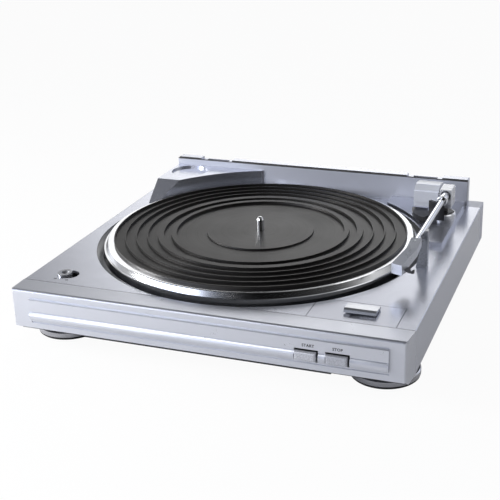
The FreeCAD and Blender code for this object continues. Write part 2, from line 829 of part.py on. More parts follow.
def make_spindle():
    tip_z = mat_top_z + spindle_stand
    foot_z = well_under_z - bearing_length + bearing_cap + 2 * thrust_ball_radius + 0.1
    pin_z = mat_disc_z + 0.1
    profile = [(0, foot_z), (spindle_shaft_radius - 0.4, foot_z), (spindle_shaft_radius, foot_z + 0.4),
               (spindle_shaft_radius, hub_z), (spindle_hub_radius, hub_z), (spindle_hub_radius, pin_z),
               (spindle_radius, pin_z), (spindle_radius, tip_z - spindle_nose),
               (spindle_radius * 0.8, tip_z - spindle_nose * 0.4),
               (spindle_radius * 0.45, tip_z - spindle_nose * 0.08), (0, tip_z)]
    save("spindle", turned(profile, platter_x, platter_y))
    bore = spindle_shaft_radius + spindle_clearance
    outer = spindle_shaft_radius + bearing_wall
    low = well_under_z - bearing_length
    profile = [(bore, low + bearing_cap), (outer, low + bearing_cap), (outer, well_floor_z),
               (outer + 1.5, well_floor_z), (outer + 1.5, well_floor_z + 0.8), (bore, well_floor_z + 0.8)]
    save("bearing_bush", turned(profile, platter_x, platter_y))
    save("bearing_cap", rod(platter_x, platter_y, (low, low + bearing_cap), outer))
    ball = Part.makeSphere(thrust_ball_radius, vec(platter_x, platter_y,
                                                   low + bearing_cap + thrust_ball_radius))
    save("thrust_ball", ball)


def make_motor():
    low = tray_top_z + motor_floor_gap
    can = rod(motor_x, motor_y, (low, well_under_z), motor_radius)
    rim = [e for e in can.Edges if max(v.Z for v in e.Vertexes) < low + 1e-6]
    can = can.makeFillet(1.5, rim)
    ears = []
    for x, y in motor_screw_places:
        ears.append(rod(x, y, (well_under_z - motor_ear_thickness, well_under_z), motor_ear - 1.0))
    can = can.multiFuse(ears).removeSplitter()
    holes = [rod(x, y, (well_under_z - 3.0, well_under_z + 1.0), motor_screw_radius + screw_clearance)
             for x, y in motor_screw_places]
    holes.append(rod(motor_x, motor_y, (well_under_z - motor_shaft_reach - 1.0, well_under_z + 1.0),
                     motor_shaft_radius + running_gap))
    save("motor_can", can.cut(Part.makeCompound(holes)))
    save_group("motor_screws", [screw_up(x, y, well_under_z - motor_ear_thickness, motor_screw_radius,
                                         motor_ear_thickness + well_wall) for x, y in motor_screw_places])
    pulley_low = well_floor_z + 2.6
    belt_low = platter_top_z - platter_web - belt_rim_height + 0.7
    belt_high = belt_low + belt_width
    r = pulley_radius
    f = pulley_radius + pulley_flange
    shaft_low = well_under_z - motor_shaft_reach
    low_edge = belt_low - pulley_side_gap
    high_edge = belt_high + pulley_side_gap
    top = high_edge + pulley_rim
    profile = [(0, shaft_low), (motor_shaft_radius, shaft_low), (motor_shaft_radius, pulley_low),
               (f, pulley_low),
               (f, low_edge), (r, low_edge), (r, high_edge), (f, high_edge), (f, top), (0, top)]
    save("motor_pulley", turned(profile, motor_x, motor_y))
    save("drive_belt", belt_loop(belt_low, belt_high))


def belt_outline(extra, z):
    """Closed belt line round the platter rim and the pulley, offset by extra."""
    big = belt_rim_radius + belt_gap + extra
    small = pulley_radius + belt_gap + extra
    lean = math.acos((big - small) / motor_distance)
    toward = math.radians(motor_angle)

    def place(distance, radius, angle):
        return vec(platter_x + distance * math.cos(toward) + radius * math.cos(toward + angle),
                   platter_y + distance * math.sin(toward) + radius * math.sin(toward + angle), z)

    big_arc = Part.Arc(place(0, big, lean), place(0, big, math.pi), place(0, big, -lean)).toShape()
    small_arc = Part.Arc(place(motor_distance, small, -lean), place(motor_distance, small, 0),
                         place(motor_distance, small, lean)).toShape()
    side_a = Part.LineSegment(place(0, big, -lean), place(motor_distance, small, -lean)).toShape()
    side_b = Part.LineSegment(place(motor_distance, small, lean), place(0, big, lean)).toShape()
    return Part.Wire([big_arc, side_a, small_arc, side_b])


def belt_loop(low, high):
    outer = Part.Face(belt_outline(belt_thickness, low)).extrude(vec(0, 0, high - low))
    inner = Part.Face(belt_outline(0, low - 1)).extrude(vec(0, 0, high - low + 2))
    return outer.cut(inner)


def make_cam_gear():
    phase = math.radians(cam_gear_angle + 180.0)
    body = gear(cam_gear_teeth, cam_gap_teeth, phase, cam_x, cam_y, gear_z)
    hub = rod(cam_x, cam_y, (gear_z[0], gear_z[1] + 2.0), cam_hub_radius)
    windows = []
    for i in range(cam_window_count):
        angle = math.radians(cam_gear_angle + 360.0 * i / cam_window_count)
        windows.append(rod(cam_x + cam_window_place * math.cos(angle),
                           cam_y + cam_window_place * math.sin(angle),
                           (gear_z[0] - 1, gear_z[1] + 1), cam_window_radius))
    body = body.cut(Part.makeCompound(windows)).fuse(hub)
    body = body.cut(rod(cam_x, cam_y, (gear_z[0] - 1, gear_z[1] + 4), cam_post_radius + running_gap))
    save("cam_gear", body.removeSplitter())
    post = rod(cam_x, cam_y, (well_under_z - 3, gear_z[1] + 3.2), cam_post_radius)
    clip = rod(cam_x, cam_y, (gear_z[1] + 2.3, gear_z[1] + 3.2), cam_post_radius + 1.5)
    save("cam_post", post.fuse(clip).removeSplitter())


def make_rear_housing():
    """Thin rear wall with the raised corner block, its ramp and the hollow round the platter."""
    top = top_z + rear_wall_rise
    wall = block((-rear_half_width, rear_half_width), (rear_wall_y, rear_wall_y + rear_wall_thickness),
                 (top_z, top))
    block_top = top_z + block_rise
    ramp = [(block_front_y - block_ramp, top_z), (block_front_y, block_top), (rear_wall_y, block_top),
            (rear_wall_y, top_z)]
    raised = bar_x(ramp, (block_left_x, block_end_x))
    raised = raised.cut(rod(platter_x, platter_y, (top_z - 1, block_top + 1), well_radius + arc_clearance))
    inner_top = block_top - 2 * block_wall
    hollow_ramp = [(block_front_y - block_ramp + 2 * block_wall, top_z - 1),
                   (block_front_y + block_wall, inner_top),
                   (rear_wall_y - 0.01, inner_top), (rear_wall_y - 0.01, top_z - 1)]
    hollow = bar_x(hollow_ramp, (block_left_x + block_wall, block_end_x - block_wall))
    hollow = hollow.cut(rod(platter_x, platter_y, (top_z - 2, block_top + 1),
                            well_radius + arc_clearance + block_wall))
    recess = rod(adapter_x, adapter_y, (block_top - adapter_depth, block_top + 1), adapter_radius)
    shape = wall.fuse(raised.cut(hollow)).removeSplitter()
    save("rear_housing", shape.cut(recess))


def make_hinge_rail():
    low = top_z
    top = top_z + rail_rise
    front = rear_wall_y + rear_wall_thickness + rear_slot
    y = (front, front + rail_depth)
    rail = block((-rear_half_width, rear_half_width), y, (low, top))
    edges = [e for e in rail.Edges if min(v.Z for v in e.Vertexes) > top - 1e-6]
    rail = rail.makeFillet(1.0, edges)
    cuts = []
    for side in (-1, 1):
        a = side * hinge_pocket_inner
        b = side * hinge_pocket_outer
        x = (min(a, b), max(a, b))
        cuts.append(block(x, (y[0] - 1, y[1] + 1), (rail_step_z, top + 1)))
        slot_x = (x[0] + hinge_pocket_end, x[1] - hinge_pocket_end)
        cuts.append(block(slot_x, (y[0] + hinge_pocket_wall, y[1] - hinge_pocket_wall),
                          (top - hinge_pocket_depth, top + 1)))
    save("hinge_rail", rail.cut(Part.makeCompound(cuts)))


rail_step_z = top_z + rail_rise - hinge_step_drop
slot_count = 9
slot_pitch = 15.0
slot_row_pitch = 34.0
slot_half_width = 1.5
slot_half_length = 12.0
slot_y = rear_y - 116.0


def make_bottom_tray():
    inset = cover_wall + tray_clearance
    x = (-half_width + inset, half_width - inset)
    y = (front_y + fascia_wall + tray_front_gap, rear_y - inset)
    floor = rounded_block(x, y, (base_z, tray_top_z), 2.0)
    lip_outer = rounded_block(x, y, (tray_top_z - 0.5, base_z + tray_lip_height), 2.0)
    lip_inner = block((x[0] + tray_thickness, x[1] - tray_thickness),
                      (y[0] + tray_thickness, y[1] - tray_thickness), (base_z, base_z + tray_lip_height + 1))
    rib_y = y[0] + tray_thickness
    rib = block((-half_width + tray_rib_inset, half_width - tray_rib_inset), (rib_y, rib_y + tray_rib_depth),
                (base_z - tray_rib_drop, base_z + 0.5))
    tray = floor.multiFuse([lip_outer.cut(lip_inner), rib]).removeSplitter()
    cuts = [rod(px, py, (base_z - 1, tray_top_z + 1), tray_screw_radius + 0.3) for px,
            py in tray_screw_places]
    cuts += [rod(px, py, (tray_top_z, base_z + tray_lip_height + 1), boss_radius + 0.3)
             for px, py in tray_screw_places]
    for px, py in foot_places:
        cuts.append(rod(px, py, (base_z - 1, tray_top_z + 1), foot_screw_radius + screw_clearance))
    for row in range(2):
        for i in range(slot_count):
            cx = slot_pitch * (i - (slot_count - 1) / 2.0)
            cy = slot_y + slot_row_pitch * row
            cuts.append(block((cx - slot_half_width, cx + slot_half_width),
                              (cy - slot_half_length, cy + slot_half_length), (base_z - 1, tray_top_z + 1)))
    save("bottom_tray", tray.cut(Part.makeCompound(cuts)))
    length = tray_thickness + tray_screw_length - 0.5
    save_group("tray_screws", [screw_up(px, py, base_z, tray_screw_radius, length)
                               for px, py in tray_screw_places])


foot_places = [(-foot_front_x, foot_front_y), (foot_front_x, foot_front_y), (-foot_rear_x, foot_rear_y),
               (foot_rear_x, foot_rear_y)]


def make_feet():
    bodies = []
    rings = []
    pads = []
    screws = []
    band_low = foot_pad_height
    band_high = foot_pad_height + foot_band_height
    ring_inner = foot_radius - foot_ring_wall
    for x, y in foot_places:
        body = turned([(0, band_low), (ring_inner, band_low), (ring_inner, band_high - 1.0),
                       (foot_neck_radius + 1.0, band_high + 0.6), (foot_neck_radius, base_z), (0, base_z)],
                      x, y)
        head_z = band_low + foot_screw_sink
        body = body.cut(rod(x, y, (band_low - 1, head_z), foot_screw_radius * foot_sink_factor))
        bodies.append(body.cut(rod(x, y, (band_low, base_z + 1), foot_screw_radius + screw_clearance)))
        rings.append(turned([(ring_inner, band_low), (foot_radius, band_low), (foot_radius, band_high - 1.4),
                             (foot_radius - 1.0, band_high - 0.4), (ring_inner, band_high - 1.0)], x, y))
        pad = foot_radius - foot_pad_inset
        pads.append(turned([(foot_pad_hole, 0), (pad - foot_pad_edge, 0), (pad, foot_pad_edge),
                            (pad, band_low),
                            (foot_pad_hole, band_low)], x, y))
        screws.append(screw_up(x, y, head_z, foot_screw_radius, tray_top_z + 1.0 - head_z))
    save_group("foot_bodies", bodies)
    save_group("foot_rings", rings)
    save_group("foot_pads", pads)
    save_group("foot_screws", screws)


def make_pivot():
    ring_top = top_z + pivot_ring_rise
    ring = turned([(pivot_shaft_radius + sleeve_wall + 2.0, deck_z), (pivot_ring_radius, deck_z),
                   (pivot_ring_radius, ring_top - 1.2), (pivot_ring_radius - 1.0, ring_top),
                   (pivot_ring_bore, ring_top), (pivot_ring_bore, disc_z[0] - 0.6),
                   (pivot_shaft_radius + sleeve_wall + 2.0, disc_z[0] - 0.6)], pivot_x, pivot_y)
    save("pivot_ring", ring)
    bore = pivot_shaft_radius + running_gap
    outer = pivot_shaft_radius + sleeve_wall
    sleeve_top = disc_z[0] - 0.3
    sleeve = turned([(bore, sleeve_low_z), (outer, sleeve_low_z), (outer, sleeve_top), (bore, sleeve_top)],
                    pivot_x, pivot_y)
    save("pivot_sleeve", sleeve)
    disc = rod(pivot_x, pivot_y, disc_z, pivot_disc_radius)
    neck = rod(pivot_x, pivot_y, (disc_z[0], top_z + housing_bottom_rise), pivot_neck_radius)
    base = disc.fuse(neck).removeSplitter()
    base = base.cut(rod(pivot_x, pivot_y, (disc_z[0] - 1, top_z + housing_bottom_rise + 1),
                        pivot_shaft_radius))
    save("pivot_base", base)
    shaft_low = top_z - pivot_shaft_drop
    save("pivot_shaft", rod(pivot_x, pivot_y, (shaft_low, top_z + housing_bottom_rise), pivot_shaft_radius))
    plate_z = (shaft_low, shaft_low + trip_plate_thickness)
    hub_z_pair = (shaft_low, shaft_low + trip_hub_height)
    hub = rod(pivot_x, pivot_y, hub_z_pair, pivot_shaft_radius + 3.0)
    half = trip_width / 2.0
    finger = block((pivot_x - trip_reach, pivot_x), (pivot_y - half, pivot_y + half), plate_z)
    tip = rod(pivot_x - trip_reach, pivot_y, plate_z, half)
    trip = hub.multiFuse([finger, tip]).removeSplitter()
    bore = rod(pivot_x, pivot_y, (shaft_low - 1, hub_z_pair[1] + 1), pivot_shaft_radius)
    save("trip_plate", trip.cut(bore))


disc_z = (top_z + pivot_ring_rise - pivot_disc_thickness + 0.4, top_z + pivot_ring_rise + 0.4)
housing_x_pair = (arm_x - housing_width / 2.0, arm_x + housing_width / 2.0)
housing_y_pair = (arm_y - housing_front, arm_y + housing_back)
housing_z_pair = (top_z + housing_bottom_rise, top_z + housing_top_rise)


def make_housing():
    """Bearing housing of the arm: a box open to the front and below the hub block."""
    shell = block(housing_x_pair, housing_y_pair, housing_z_pair)
    shell = shell.makeFillet(housing_edge, shell.Edges)
    inside = block((housing_x_pair[0] + housing_wall, housing_x_pair[1] - housing_wall),
                   (housing_y_pair[0] + housing_wall, housing_y_pair[1] - housing_wall),
                   (housing_z_pair[0] + housing_wall, housing_z_pair[1] - housing_wall))
    mouth = rod_y(arm_x, (housing_y_pair[0] - 1, housing_y_pair[0] + housing_wall + 1), arm_z,
                  housing_mouth_radius)
    bore = rod_x((housing_x_pair[0] - 1, housing_x_pair[1] - housing_wall / 2.0), arm_y, arm_z,
                 pitch_shaft_radius + running_gap)
    save("pivot_housing", shell.cut(Part.makeCompound([inside, mouth, bore])))


def make_arm():
    hub_x = (arm_x - hub_length / 2.0, arm_x + hub_length / 2.0)
    hub = rod_x(hub_x, arm_y, arm_z, hub_radius_arm)
    hub = hub.makeFillet(0.6, hub.Edges[:1] + hub.Edges[2:])
    neck = rod_y(arm_x, (arm_y - collar_front + 0.5, arm_y - neck_end), arm_z, neck_radius)
    stub = rod_y(arm_x, (arm_y - neck_end - 1.0, arm_y), arm_z, neck_stub_radius)
    collar_y = (arm_y - collar_front, arm_y - collar_front + collar_length)
    tube_seat_y = collar_y[1] + tube_seat
    collar = rod_y(arm_x, collar_y, arm_z, collar_radius)
    collar = collar.makeFillet(1.0, collar.Edges[:1] + collar.Edges[2:])
    hub = hub.multiFuse([neck, stub, collar]).removeSplitter()
    hub = hub.cut(rod_x((hub_x[0] - 1, hub_x[1] + 1), arm_y, arm_z, pitch_shaft_radius))
    hub = hub.cut(rod_y(arm_x, (collar_y[0] - 1, tube_seat_y), arm_z, tube_radius))
    save("arm_hub", hub)
    shaft_x = (weight_right_x - weight_shaft_depth, housing_x_pair[1] - housing_wall / 2.0 - 0.2)
    save("pitch_shaft", rod_x(shaft_x, arm_y, arm_z, pitch_shaft_radius))
    tube = rod_y(arm_x, (tube_end_y, tube_seat_y), arm_z, tube_radius)
    tube = tube.cut(rod_y(arm_x, (tube_end_y - 1, tube_seat_y + 1), arm_z, tube_bore))
    save("arm_tube", tube)
    back = arm_y + weight_back
    face = arm_y - weight_front
    low = top_z + weight_bottom_rise
    skirt = top_z + weight_skirt_rise
    step = top_z + weight_face_rise
    high = top_z + weight_top_rise
    g = weight_groove
    crown = face + weight_crown
    lip = face + weight_lip
    profile = [(face + weight_skirt_inset, low), (back - 3.0, low + 2.0), (back, low + 6.0),
               (back, low + 12.0),
               (back - 8.0, high - 2.0), (crown + 6.0, high), (crown, high), (crown, high - g),
               (crown - g, high - g), (crown - g, high - 0.4), (lip, step + 0.5), (lip, step - g),
               (face, step - g), (face, skirt), (face + weight_skirt_inset, skirt)]
    weight = bar_x(profile, (weight_left_x, weight_right_x))
    shaft_hole = rod_x((weight_right_x - weight_shaft_depth, weight_right_x + 1), arm_y, arm_z,
                       pitch_shaft_radius)
    weight = weight.cut(shaft_hole)
    save("counterweight", weight)


weight_right_x = housing_x_pair[0] - weight_gap


head_joint_y = socket_rear_y - socket_length


def head_place(along, side, z):
    """Point of the turned head, measured along its axis from the socket's front."""
    a = math.radians(head_angle)
    x = arm_x - along * math.sin(a) + side * math.cos(a)
    return vec(x, head_joint_y - along * math.cos(a) - side * math.sin(a), z)


def head_section(along, width, low, high):
    half = width / 2.0
    corners = [head_place(along, -half, low), head_place(along, half, low), head_place(along, half, high),
               head_place(along, -half, high)]
    return Part.makePolygon(corners + corners[:1])


def socket_section(y, low, high):
    half = socket_width / 2.0
    corners = [vec(arm_x - half, y, low), vec(arm_x + half, y, low), vec(arm_x + half, y, high),
               vec(arm_x - half, y, high)]
    return Part.makePolygon(corners + corners[:1])


def make_head():
    """Head moulded with its tube socket; the head turns inward and slopes down to the front."""
    crease = top_z + socket_front_rise
    front = top_z + head_front_rise
    joint_low = crease - socket_drop
    socket = Part.makeLoft([socket_section(socket_rear_y, arm_z - tube_radius - 1.0,
                                           top_z + socket_rear_rise),
                            socket_section(head_joint_y, joint_low, crease)], True, True)
    wedge = Part.makeLoft([socket_section(head_joint_y, joint_low, crease),
                           head_section(head_length, head_front_width, front - head_height, front)], True,
                          True)
    head = socket.fuse(wedge).removeSplitter()
    head = head.cut(rod_y(arm_x, (tube_end_y, socket_rear_y + 1.0), arm_z, tube_radius))
    inner_rear = socket_width - 2 * head_wall
    inner_front = head_front_width - 2 * head_wall
    sections = [head_section(cartridge_inset, inner_rear, front - head_height - 2, crease - head_wall - 2.0),
                head_section(head_length - head_wall, inner_front, front - head_height - 2,
                             front - head_wall)]
    save("headshell", head.cut(Part.makeLoft(sections, True, True)))
    low = front - head_height - cartridge_stand
    high = low + cartridge_height
    rear = cartridge_inset + cartridge_gap
    nose = head_length - head_wall - cartridge_gap
    sections = [head_section(rear, inner_rear - 2 * cartridge_gap, low, high),
                head_section(nose, inner_front - 2 * cartridge_gap, low, high)]
    save("cartridge", Part.makeLoft(sections, True, True))
    body_low = low - stylus_body_height
    sections = [head_section(nose - stylus_body_length - 1.0, stylus_body_width, body_low, low),
                head_section(nose - 1.0, stylus_body_width - 0.4, body_low, low)]
    body = Part.makeLoft(sections, True, True)
    tip_place = head_place(nose - stylus_inset, 0, stylus_z)
    tip = Part.makeCone(stylus_tip_radius, stylus_tip_root, body_low - stylus_z, tip_place)
    save("stylus", body.fuse(tip).removeSplitter())
    save("finger_lift", finger_lift(front))


def finger_lift(front):
    """Strip that leaves the head's right side, sweeps forward and curls up at its end."""
    z = front - head_height * 0.55
    half = finger_thickness / 2.0
    side = head_front_width / 2.0
    tip = head_length - 1.5
    heel = tip - finger_width
    outline = [(head_length - 11.0, side), (head_length - 4.0, side),
               (tip + 0.5, side + finger_length * 0.55),
               (tip, side + finger_length), (heel, side + finger_length),
               (heel - 0.5, side + finger_length * 0.6)]
    points = [head_place(along, out, 0) for along, out in outline]
    strip = plate([(p.x, p.y) for p in points], (z - half, z + half))
    square = ((tip, 0), (heel, 0), (heel, finger_thickness), (tip, finger_thickness))
    end = [head_place(along, side + finger_length - inward, z - half) for along, inward in square]
    curl = Part.Face(Part.makePolygon(end + end[:1])).extrude(vec(0, 0, finger_curl))
    return strip.fuse(curl).removeSplitter()


def make_arm_rest():
    x0 = arm_x + tube_radius + rest_gap
    y = (rest_y - rest_depth / 2.0, rest_y + rest_depth / 2.0)
    shelf_top = arm_z - tube_radius - rest_gap
    post = block((x0, x0 + rest_width), y, (top_z, arm_z + tube_radius + 1.5))
    shelf = block((arm_x - rest_hook, x0 + 0.5), y, (shelf_top - 2.0, shelf_top))
    right = x0 + rest_width
    foot = [(right - rest_foot_width, top_z), (right, top_z), (right, top_z + rest_foot_rise),
            (right - rest_neck_width, top_z + rest_foot_rise)]
    corners = [vec(px, y[0], pz) for px, pz in foot]
    gusset = Part.Face(Part.makePolygon(corners + corners[:1])).extrude(vec(0, rest_depth, 0))
    rest = post.multiFuse([shelf, gusset]).removeSplitter()
    save("arm_rest", rest)


def pivot_sector(inner, outer, start, end, z):
    """Part of a ring about the arm's pivot, between two angles from straight forward."""
    ring = rod(pivot_x, pivot_y, z, outer).cut(rod(pivot_x, pivot_y, (z[0] - 1, z[1] + 1), inner))
    steps = 4
    reach = outer * 2.0
    fan = [(pivot_x, pivot_y)]
    fan += [around_pivot(reach, start + (end - start) * i / steps) for i in range(steps + 1)]
    return ring.common(plate(fan, (z[0] - 1, z[1] + 1)))


def make_lifter():
    plate_low = top_z + lift_plate_rise
    plate_high = plate_low + lift_plate_height
    post_top = plate_low - lift_post_gap
    bore = lift_shaft_radius + running_gap
    post = turned([(bore, deck_z), (lift_post_radius, deck_z), (lift_post_radius, post_top - 0.8),
                   (lift_post_radius - 0.8, post_top), (bore, post_top)], lift_x, lift_y)
    save("lift_post", post)
    inner = lift_radius - lift_band / 2.0
    outer = lift_radius + lift_band / 2.0
    wall_z = (plate_low, arm_z - neck_radius - lift_gap)
    wall = pivot_sector(inner, outer, lift_wall_start, lift_wall_end, wall_z)
    foot = pivot_sector(inner, lift_plate_outer, lift_wall_end - lift_foot_overlap, lift_plate_end,
                        (plate_low, plate_high))
    shaft = rod(lift_x, lift_y, (top_z - lift_shaft_drop, plate_low + 1.0), lift_shaft_radius)
    save("lift_arc", wall.multiFuse([foot, shaft]).removeSplitter())


def make_cue_lever():
    """Tab with a turned-down front lip, on a shank that goes through the cover."""
    low = top_z + cue_gap
    high = low + cue_thickness
    front = cue_rear_y - cue_length
    x = (cue_left_x, cue_left_x + cue_width)
    profile = [(cue_rear_y, low), (cue_rear_y, high - 0.6), (cue_rear_y - 1.0, high),
               (front + 3.0, high + 1.2),
               (front, high + 0.4), (front - 0.6, low + 0.4), (front + 1.4, low + 0.4),
               (front + 3.0, low + 1.0)]
    tab = bar_x(profile, x)
    shank_x = (cue_left_x + cue_pad, cue_left_x + cue_pad + cue_shank_width)
    rear = cue_rear_y - 0.5
    eye = cue_axle_y + 2.5
    shank = bar_x([(rear, low + 0.5), (rear, under_top_z - 0.8), (eye, cue_axle_z + 1.2),
                   (eye, cue_axle_z - 2.2),
                   (rear - 3.0, cue_axle_z - 2.2), (rear - 4.5, under_top_z - 1.0), (rear - 4.5, low + 0.5)],
                  shank_x)
    lever = tab.fuse(shank).removeSplitter()
    bore = rod_x((shank_x[0] - 1, shank_x[1] + 1), cue_axle_y, cue_axle_z, cue_axle_radius + running_gap)
    save("cue_lever", lever.cut(bore))
    axle_x = (shank_x[0] - cue_axle_reach, shank_x[1] + cue_axle_reach)
    axle = rod_x(axle_x, cue_axle_y, cue_axle_z, cue_axle_radius)
    save("cue_axle", axle)
    hangers = []
    for x0 in (shank_x[0] - cue_axle_reach, shank_x[1] + cue_axle_reach - hanger_width):
        hanger = block((x0, x0 + hanger_width), (cue_axle_y - hanger_half, cue_axle_y + hanger_half),
                       (cue_axle_z - hanger_half, under_top_z))
        hole = rod_x((x0 - 1, x0 + hanger_width + 1), cue_axle_y, cue_axle_z, cue_axle_radius)
        hangers.append(hanger.cut(hole))
    save_group("cue_hangers", hangers)


cue_axle_y = cue_rear_y - 0.8
cue_axle_z = under_top_z - 3.5
speed_start = speed_x - speed_travel / 2.0
speed_slot = (speed_start - speed_stem / 2.0 - speed_knob_gap,
              speed_start + speed_travel + speed_stem / 2.0 + speed_knob_gap)


def make_speed_selector():
    """Scooped knob that slides in a deep recess with round ends, and the switch below it."""
    floor = top_z - speed_recess
    knob_top = top_z + speed_knob_rise
    z = (floor + 0.3, knob_top)
    length = speed_length - 2 * speed_knob_gap
    width = speed_width - 2 * speed_knob_gap
    knob = pill(speed_x, speed_y, z, length, width).common(pill(speed_x - speed_travel, speed_y, z, length,
                                                                width))
    knob = knob.removeSplitter()
    tips = [e for e in upright_edges(knob) if abs(e.Vertexes[0].Y - speed_y) > width / 2.5]
    knob = knob.makeFillet(speed_knob_corner, tips)
    rim = [e for e in knob.Edges if min(v.Z for v in e.Vertexes) > knob_top - 1e-6]
    knob = knob.makeFillet(speed_knob_edge, rim)
    scoop_z = knob_top + speed_scoop_radius - speed_scoop_depth
    scoop = Part.makeSphere(speed_scoop_radius, vec(speed_start, speed_y, scoop_z))
    half = speed_stem / 2.0
    stem = block((speed_start - half, speed_start + half), (speed_y - half, speed_y + half),
                 (under_top_z - speed_stem_drop, floor + 1.0))
    save("speed_knob", knob.cut(scoop).fuse(stem).removeSplitter())
    reach_x = speed_length / 2.0 + speed_body_margin
    reach_y = speed_width / 2.0 + speed_body_margin
    body = block((speed_x - reach_x, speed_x + reach_x), (speed_y - reach_y, speed_y + reach_y),
                 (under_top_z - speed_body_height, under_top_z))
    pocket = pill(speed_x, speed_y, (floor, top_z), speed_length, speed_width)
    half += speed_knob_gap
    slot = block(speed_slot, (speed_y - half, speed_y + half), (under_top_z - speed_stem_drop - 1.0, top_z))
    save("speed_switch", body.cut(Part.makeCompound([pocket.fuse(slot)])))


def make_electrics():
    size = transformer_size
    core = block((transformer_x - size[0] / 2.0, transformer_x + size[0] / 2.0),
                 (transformer_y - size[1] / 4.0, transformer_y + size[1] / 4.0),
                 (tray_top_z, tray_top_z + size[2]))
    half = transformer_winding_width / 2.0
    winding = rounded_block((transformer_x - half, transformer_x + half),
                            (transformer_y - size[1] / 2.0, transformer_y + size[1] / 2.0),
                            (tray_top_z + core_yoke, tray_top_z + size[2] - core_yoke), winding_round)
    save("transformer_core", core.cut(winding))
    save("transformer_winding", winding)
    x = (board_x - board_size[0] / 2.0, board_x + board_size[0] / 2.0)
    y = (board_y - board_size[1] / 2.0, board_y + board_size[1] / 2.0)
    z = tray_top_z + board_rise
    board = block(x, y, (z, z + board_thickness))
    inset = board_post_inset
    posts = [rod(px, py, (tray_top_z, z), board_post_radius)
             for px in (x[0] + inset, x[1] - inset) for py in (y[0] + inset, y[1] - inset)]
    save("control_board", board)
    save_group("board_posts", posts)
    top = z + board_thickness
    parts = [rod(board_x + capacitor_pitch * (i - 2), board_y - capacitor_pitch,
                 (top, top + capacitor_height),
                 capacitor_radius) for i in range(3)]
    parts.append(block((board_x - 2 * chip_length, board_x - chip_length), (board_y, board_y + chip_width),
                       (top, top + chip_height)))
    parts.append(block((x[1] - plug_length - 3 * part_inset, x[1] - 3 * part_inset),
                       (y[1] - plug_width - part_inset, y[1] - part_inset), (top, top + plug_height)))
    save_group("board_parts", parts)
    gland("mains_gland", mains_gland_x)
    gland("signal_gland", signal_gland_x)


def gland(name, x):
    """Cord bush: barrel through the wall, flange and a tapered nose."""
    z = base_z + gland_rise
    inner_y = rear_y - cover_wall - gland_inner_reach
    barrel = rod_y(x, (inner_y, rear_y), z, gland_radius)
    flange = rod_y(x, (rear_y, rear_y + gland_flange), z, gland_radius + gland_lip)
    nose_y = rear_y + gland_flange
    nose = Part.makeCone(gland_radius, gland_radius - 1.0, gland_reach - gland_flange, vec(x, nose_y, z),
                         vec(0, 1, 0))
    body = barrel.multiFuse([flange, nose]).removeSplitter()
    save(name, body.cut(rod_y(x, (inner_y - 1, rear_y + gland_reach + 1), z, cord_hole_radius)))


make_top_cover()
make_front_fascia()
make_buttons()
make_well_dish()
make_platter()
make_mat()
make_spindle()
make_motor()
make_cam_gear()
make_rear_housing()
make_hinge_rail()
make_bottom_tray()
make_feet()
make_pivot()
make_housing()
make_arm()
make_head()
make_arm_rest()
make_lifter()
make_cue_lever()
make_speed_selector()
make_electrics()
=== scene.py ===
import json
import math
import bmesh
import bpy
from mathutils import Matrix, Vector


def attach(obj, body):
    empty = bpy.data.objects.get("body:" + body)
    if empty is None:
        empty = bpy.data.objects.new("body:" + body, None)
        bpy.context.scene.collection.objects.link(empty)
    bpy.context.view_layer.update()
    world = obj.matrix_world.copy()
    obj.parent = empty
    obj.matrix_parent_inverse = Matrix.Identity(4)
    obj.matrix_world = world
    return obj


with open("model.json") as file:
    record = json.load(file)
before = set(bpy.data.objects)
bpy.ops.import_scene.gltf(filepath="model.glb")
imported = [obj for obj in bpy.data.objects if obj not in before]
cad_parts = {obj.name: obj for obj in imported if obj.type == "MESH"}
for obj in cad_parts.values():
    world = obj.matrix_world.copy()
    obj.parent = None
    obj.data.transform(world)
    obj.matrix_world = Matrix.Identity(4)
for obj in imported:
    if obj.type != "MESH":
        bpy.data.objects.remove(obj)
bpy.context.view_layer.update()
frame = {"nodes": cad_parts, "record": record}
nodes = frame["nodes"]
record = frame["record"]


# Places on the deck, in metres

def joint_place(name):
    """Where a joint of the record stands."""
    for joint in record["behaviour"]["joints"]:
        if joint["name"] == name:
            return joint["pos_m"]
    raise KeyError(name)


TOP = 0.054
REAR_WALL = 0.1561
REAR_WALL_EDGE = 0.0802
RAIL_FRONT = 0.1605
BUTTON_FACE = -0.1783
FASCIA_EDGE = TOP - 0.0003
PLATTER_AXIS = joint_place("platter_spin")[:2]

# Printed marks
WORD_HEIGHT = 0.0025
WORD_LEVEL = 0.0419
NUMBER_HEIGHT = 0.0022
NUMBER_ROW = -0.1422
INK_THICKNESS = 0.000015
STROKE_GROWTH = 0.00010
CAPITAL_SHARE = 0.729
RAY_START = 0.25

# The cue lever's field: its left, right and back lines, and the cut-off corner between two of them. The
# lines are black plates in engraved grooves, as painted shade
LINE_WIDTH = 0.00046
FIELD_LEFT = 0.08775
FIELD_RIGHT = 0.16375
FIELD_BACK = -0.11275
FIELD_FRONT = -0.1505
FIELD_CORNER = (0.0991, -0.1224)
LINE_LAP = 0.00025
RIGHT_LINE_OVERRUN = 0.00015
LINE_TOP = TOP - 0.00008
LINE_FLOOR = TOP - 0.00030

# The dark line in the seam between the cover and the front piece: a black plate in the gap, as painted shade
SEAM_HALF_LENGTH = 0.1792
SEAM_FRONT = -0.1513
SEAM_BACK = -0.1508
SEAM_TOP = TOP + 0.00003
SEAM_FLOOR = TOP - 0.00020


# Materials

GRAIN_SCALE = 2200.0
GRAIN_DEPTH = 0.12
GRAIN_HEIGHT = 0.00006
MASK_BLUR = 0.0001
BLACK = (0.008, 0.008, 0.009)
EDGE_BLACK = (0.010, 0.010, 0.011)


def times(colour, factor):
    return tuple(min(1.0, c * factor) for c in colour)


